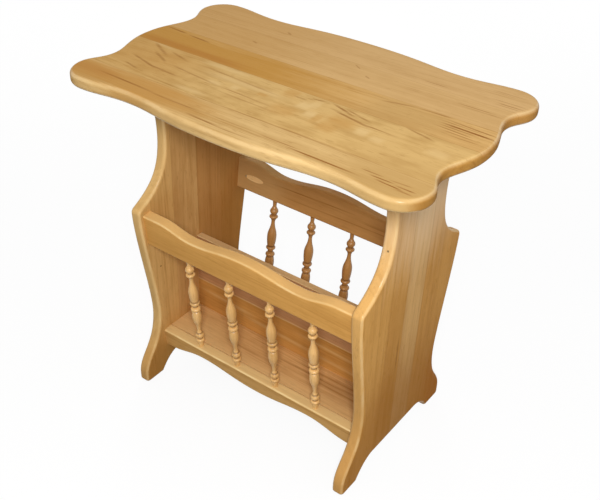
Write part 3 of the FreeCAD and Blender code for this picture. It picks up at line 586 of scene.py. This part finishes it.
# painted shade: a dark line at each groove of a spindle
GROOVE_SHADE_LINES = [mark(height, 0.0, 0.0018, 0.1, depth=0.6, tint=GROOVE_SHADE, breaks=0.0) for height in GROOVES]
for side, facing, shift in (("front", -1, 71.0), ("back", 1, 81.0)):
    outward = BACKWARD * facing
    foot = outward * GATE_FOOT[0] + UPWARD * GATE_FOOT[1]
    rise = UPWARD * math.cos(GATE_TILT) + outward * math.sin(GATE_TILT)
    face = outward * math.cos(GATE_TILT) - UPWARD * math.sin(GATE_TILT)
    dress(side + "_rail", oak_board(
        "oak_" + side + "_rail", foot, ALONG, rise, face, tone=RAIL_TONES_AND_SHADE[side], shift=shift,
        marks=RAIL_LINES[side], wear_and_sheen=RAIL_WEAR_AND_SHEEN[side], gloss=0.03, shine=0.6, **RAIL_GROWTH))
    sideways = -ALONG * facing
    for place in range(SPINDLE_COUNT):
        centre = foot + sideways * SPINDLE_PITCH * (place - (SPINDLE_COUNT - 1) / 2)
        name = f"{side}_spindle_{place + 1}"
        dress(name, oak_board(
            "oak_" + name, centre, rise, sideways, face, tone=SPINDLE_TONES_AND_SHADE[side],
            shift=shift + SPINDLE_SHIFT * (place + 1), marks=GROOVE_SHADE_LINES, wear_and_sheen=0.0, gloss=0.5,
            **SPINDLE_GROWTH))


# ---------------------------------------------------------------- plugs, dowels and screws
def plug_wood():
    return oak_board("oak_plugs", MIDDLE, ALONG, UPWARD, BACKWARD, tone=(246, 206, 142),
                     shift=91.0, pith=(0.4, 0.2), ring=0.003, wear_and_sheen=0.0)


def dowel_wood():
    return oak_board("beech_dowels", MIDDLE, UPWARD, ALONG, BACKWARD, tone=(212, 174, 128),
                     shift=95.0, pith=(0.4, 0.2), ring=0.0025, rings=0.2, pores=0.4, contrast=0.7, wear_and_sheen=0.0)


def screw_steel():
    """Zinc-plated steel: faint turning lines and dull patches."""
    material, tree = new_material("zinc_steel")
    point = put(tree, "ShaderNodeTexCoord").outputs["Object"]
    patches = noise_of(tree, point, (180.0, 180.0, 180.0), (0.0, 0.0, 0.0), 3.0)
    lines = noise_of(tree, point, (40.0, 2400.0, 2400.0), (2.0, 0.0, 0.0), 1.0)
    colour = mix_colour(tree, patches, srgb(188, 188, 184), srgb(150, 150, 148))
    rough = math_of(tree, "MULTIPLY_ADD", lines, 0.2, 0.28)
    bump = put(tree, "ShaderNodeBump", {"Strength": 0.1, "Distance": 0.0003, "Height": lines})
    shader = put(tree, "ShaderNodeBsdfPrincipled", {
        "Base Color": colour, "Metallic": 1.0, "Roughness": rough, "Normal": bump.outputs[0]})
    put(tree, "ShaderNodeOutputMaterial", {"Surface": shader.outputs[0]})
    return material


dress("rail_plugs", plug_wood())
beech = dowel_wood()
for name in ("head_dowels", "floor_dowels", "apron_dowels", "divider_dowels"):
    dress(name, beech)
dress("rail_screws", screw_steel())

# ---------------------------------------------------------------- studio: white floor, room and two lamps
WHITE = (1.0, 1.0, 1.0, 1.0)
PALE = (0.95, 0.95, 0.95, 1.0)        # the floor, where it shows a shadow
DIM = (0.2, 0.2, 0.2, 1.0)            # the floor, as it throws light back on to the table
FLOOR_HALF = 30.0
FLOOR_SHADOW = 0.10       # share of the real shadow that the white floor shows near the table
SHADOW_REACH = (0.6, 2.0)         # where that share starts to fade, and where it is gone
ROOM_GLOW = (0.34, 0.59)          # the room's light, from the horizon up
GLOW_HEIGHT = 0.7         # how far up it is brightest
LAMP_AIM = Vector((0.0, 0.0, 0.3))
LAMPS = {                 # place, size, power, and whether it makes a highlight
    "soft_lamp": ((0.751, -1.053, 1.240), 0.3, 20.0, True),
    "fill_lamp": ((-1.15, 1.45, 0.62), 0.6, 8.0, False),
}


def make_floor():
    """A white floor that keeps a little of the table's shadow."""
    corners = [(-FLOOR_HALF, -FLOOR_HALF, 0), (FLOOR_HALF, -FLOOR_HALF, 0),
               (FLOOR_HALF, FLOOR_HALF, 0), (-FLOOR_HALF, FLOOR_HALF, 0)]
    mesh = bpy.data.meshes.new("studio_floor")
    mesh.from_pydata(corners, [], [(0, 1, 2, 3)])
    floor = bpy.data.objects.new("studio_floor", mesh)
    bpy.context.scene.collection.objects.link(floor)
    material, tree = new_material("white_floor")
    rays = put(tree, "ShaderNodeLightPath").outputs
    mirrored = math_of(tree, "MAXIMUM", rays["Is Glossy Ray"], rays["Is Transmission Ray"])
    dim = put(tree, "ShaderNodeBsdfDiffuse", {"Color": DIM}).outputs[0]
    pale = put(tree, "ShaderNodeBsdfDiffuse", {"Color": PALE}).outputs[0]
    white = put(tree, "ShaderNodeEmission", {"Color": WHITE, "Strength": 1.0}).outputs[0]
    away = vector_of(tree, "LENGTH", put(tree, "ShaderNodeTexCoord").outputs["Object"])
    shade = smooth_step(tree, away, *SHADOW_REACH, FLOOR_SHADOW, 0.0)
    shown = put(tree, "ShaderNodeMixShader", {0: shade, 1: white, 2: pale}).outputs[0]
    unseen = put(tree, "ShaderNodeMixShader", {0: mirrored, 1: dim, 2: pale}).outputs[0]
    both = put(tree, "ShaderNodeMixShader", {0: rays["Is Camera Ray"], 1: unseen, 2: shown}).outputs[0]
    put(tree, "ShaderNodeOutputMaterial", {"Surface": both})
    mesh.materials.append(material)


def light_studio():
    """A bright room all round, a soft lamp beside the camera and a weak low one behind the table."""
    world = bpy.data.worlds.new("studio_room")
    bpy.context.scene.world = world
    world.use_nodes = True
    tree = world.node_tree
    tree.nodes.clear()
    rays = put(tree, "ShaderNodeLightPath").outputs
    toward = put(tree, "ShaderNodeTexCoord").outputs["Generated"]
    up = put(tree, "ShaderNodeSeparateXYZ", {0: toward}).outputs[2]
    glow = smooth_step(tree, up, 0.0, GLOW_HEIGHT, *ROOM_GLOW)
    room = put(tree, "ShaderNodeBackground", {"Color": WHITE, "Strength": glow}).outputs[0]
    white = put(tree, "ShaderNodeBackground", {"Color": WHITE, "Strength": 1.0}).outputs[0]
    seen = math_of(tree, "MAXIMUM", rays["Is Camera Ray"],
                   math_of(tree, "MAXIMUM", rays["Is Glossy Ray"], rays["Is Transmission Ray"]))
    both = put(tree, "ShaderNodeMixShader", {0: seen, 1: room, 2: white}).outputs[0]
    put(tree, "ShaderNodeOutputWorld", {"Surface": both})
    for name, (spot, size, power, highlight) in LAMPS.items():
        lamp = bpy.data.lights.new(name, "AREA")
        lamp.size = size
        lamp.energy = power
        holder = bpy.data.objects.new(name, lamp)
        holder.location = spot
        holder.rotation_euler = (LAMP_AIM - Vector(spot)).to_track_quat("-Z", "Y").to_euler()
        holder.visible_glossy = highlight
        bpy.context.scene.collection.objects.link(holder)


def set_camera():
    back = Vector((math.sin(CAMERA_AZIMUTH) * math.cos(CAMERA_ELEVATION),
                   -math.cos(CAMERA_AZIMUTH) * math.cos(CAMERA_ELEVATION), math.sin(CAMERA_ELEVATION)))
    level = Vector((math.cos(CAMERA_AZIMUTH), math.sin(CAMERA_AZIMUTH), 0.0))
    above = back.cross(level)
    right = level * math.cos(CAMERA_ROLL) + above * math.sin(CAMERA_ROLL)
    up = above * math.cos(CAMERA_ROLL) - level * math.sin(CAMERA_ROLL)
    camera = bpy.data.cameras.new("photo_camera")
    camera.lens = CAMERA_LENS
    camera.sensor_width = SENSOR_WIDTH
    camera.shift_x, camera.shift_y = CAMERA_SHIFT
    camera.clip_start, camera.clip_end = CAMERA_CLIP
    holder = bpy.data.objects.new("photo_camera", camera)
    turn = Matrix((right, up, back)).transposed().to_4x4()
    holder.matrix_world = Matrix.Translation(CAMERA_PLACE) @ turn
    bpy.context.scene.collection.objects.link(holder)
    bpy.context.scene.camera = holder


make_floor()
light_studio()
set_camera()
bpy.context.scene.view_settings.view_transform = "Standard"
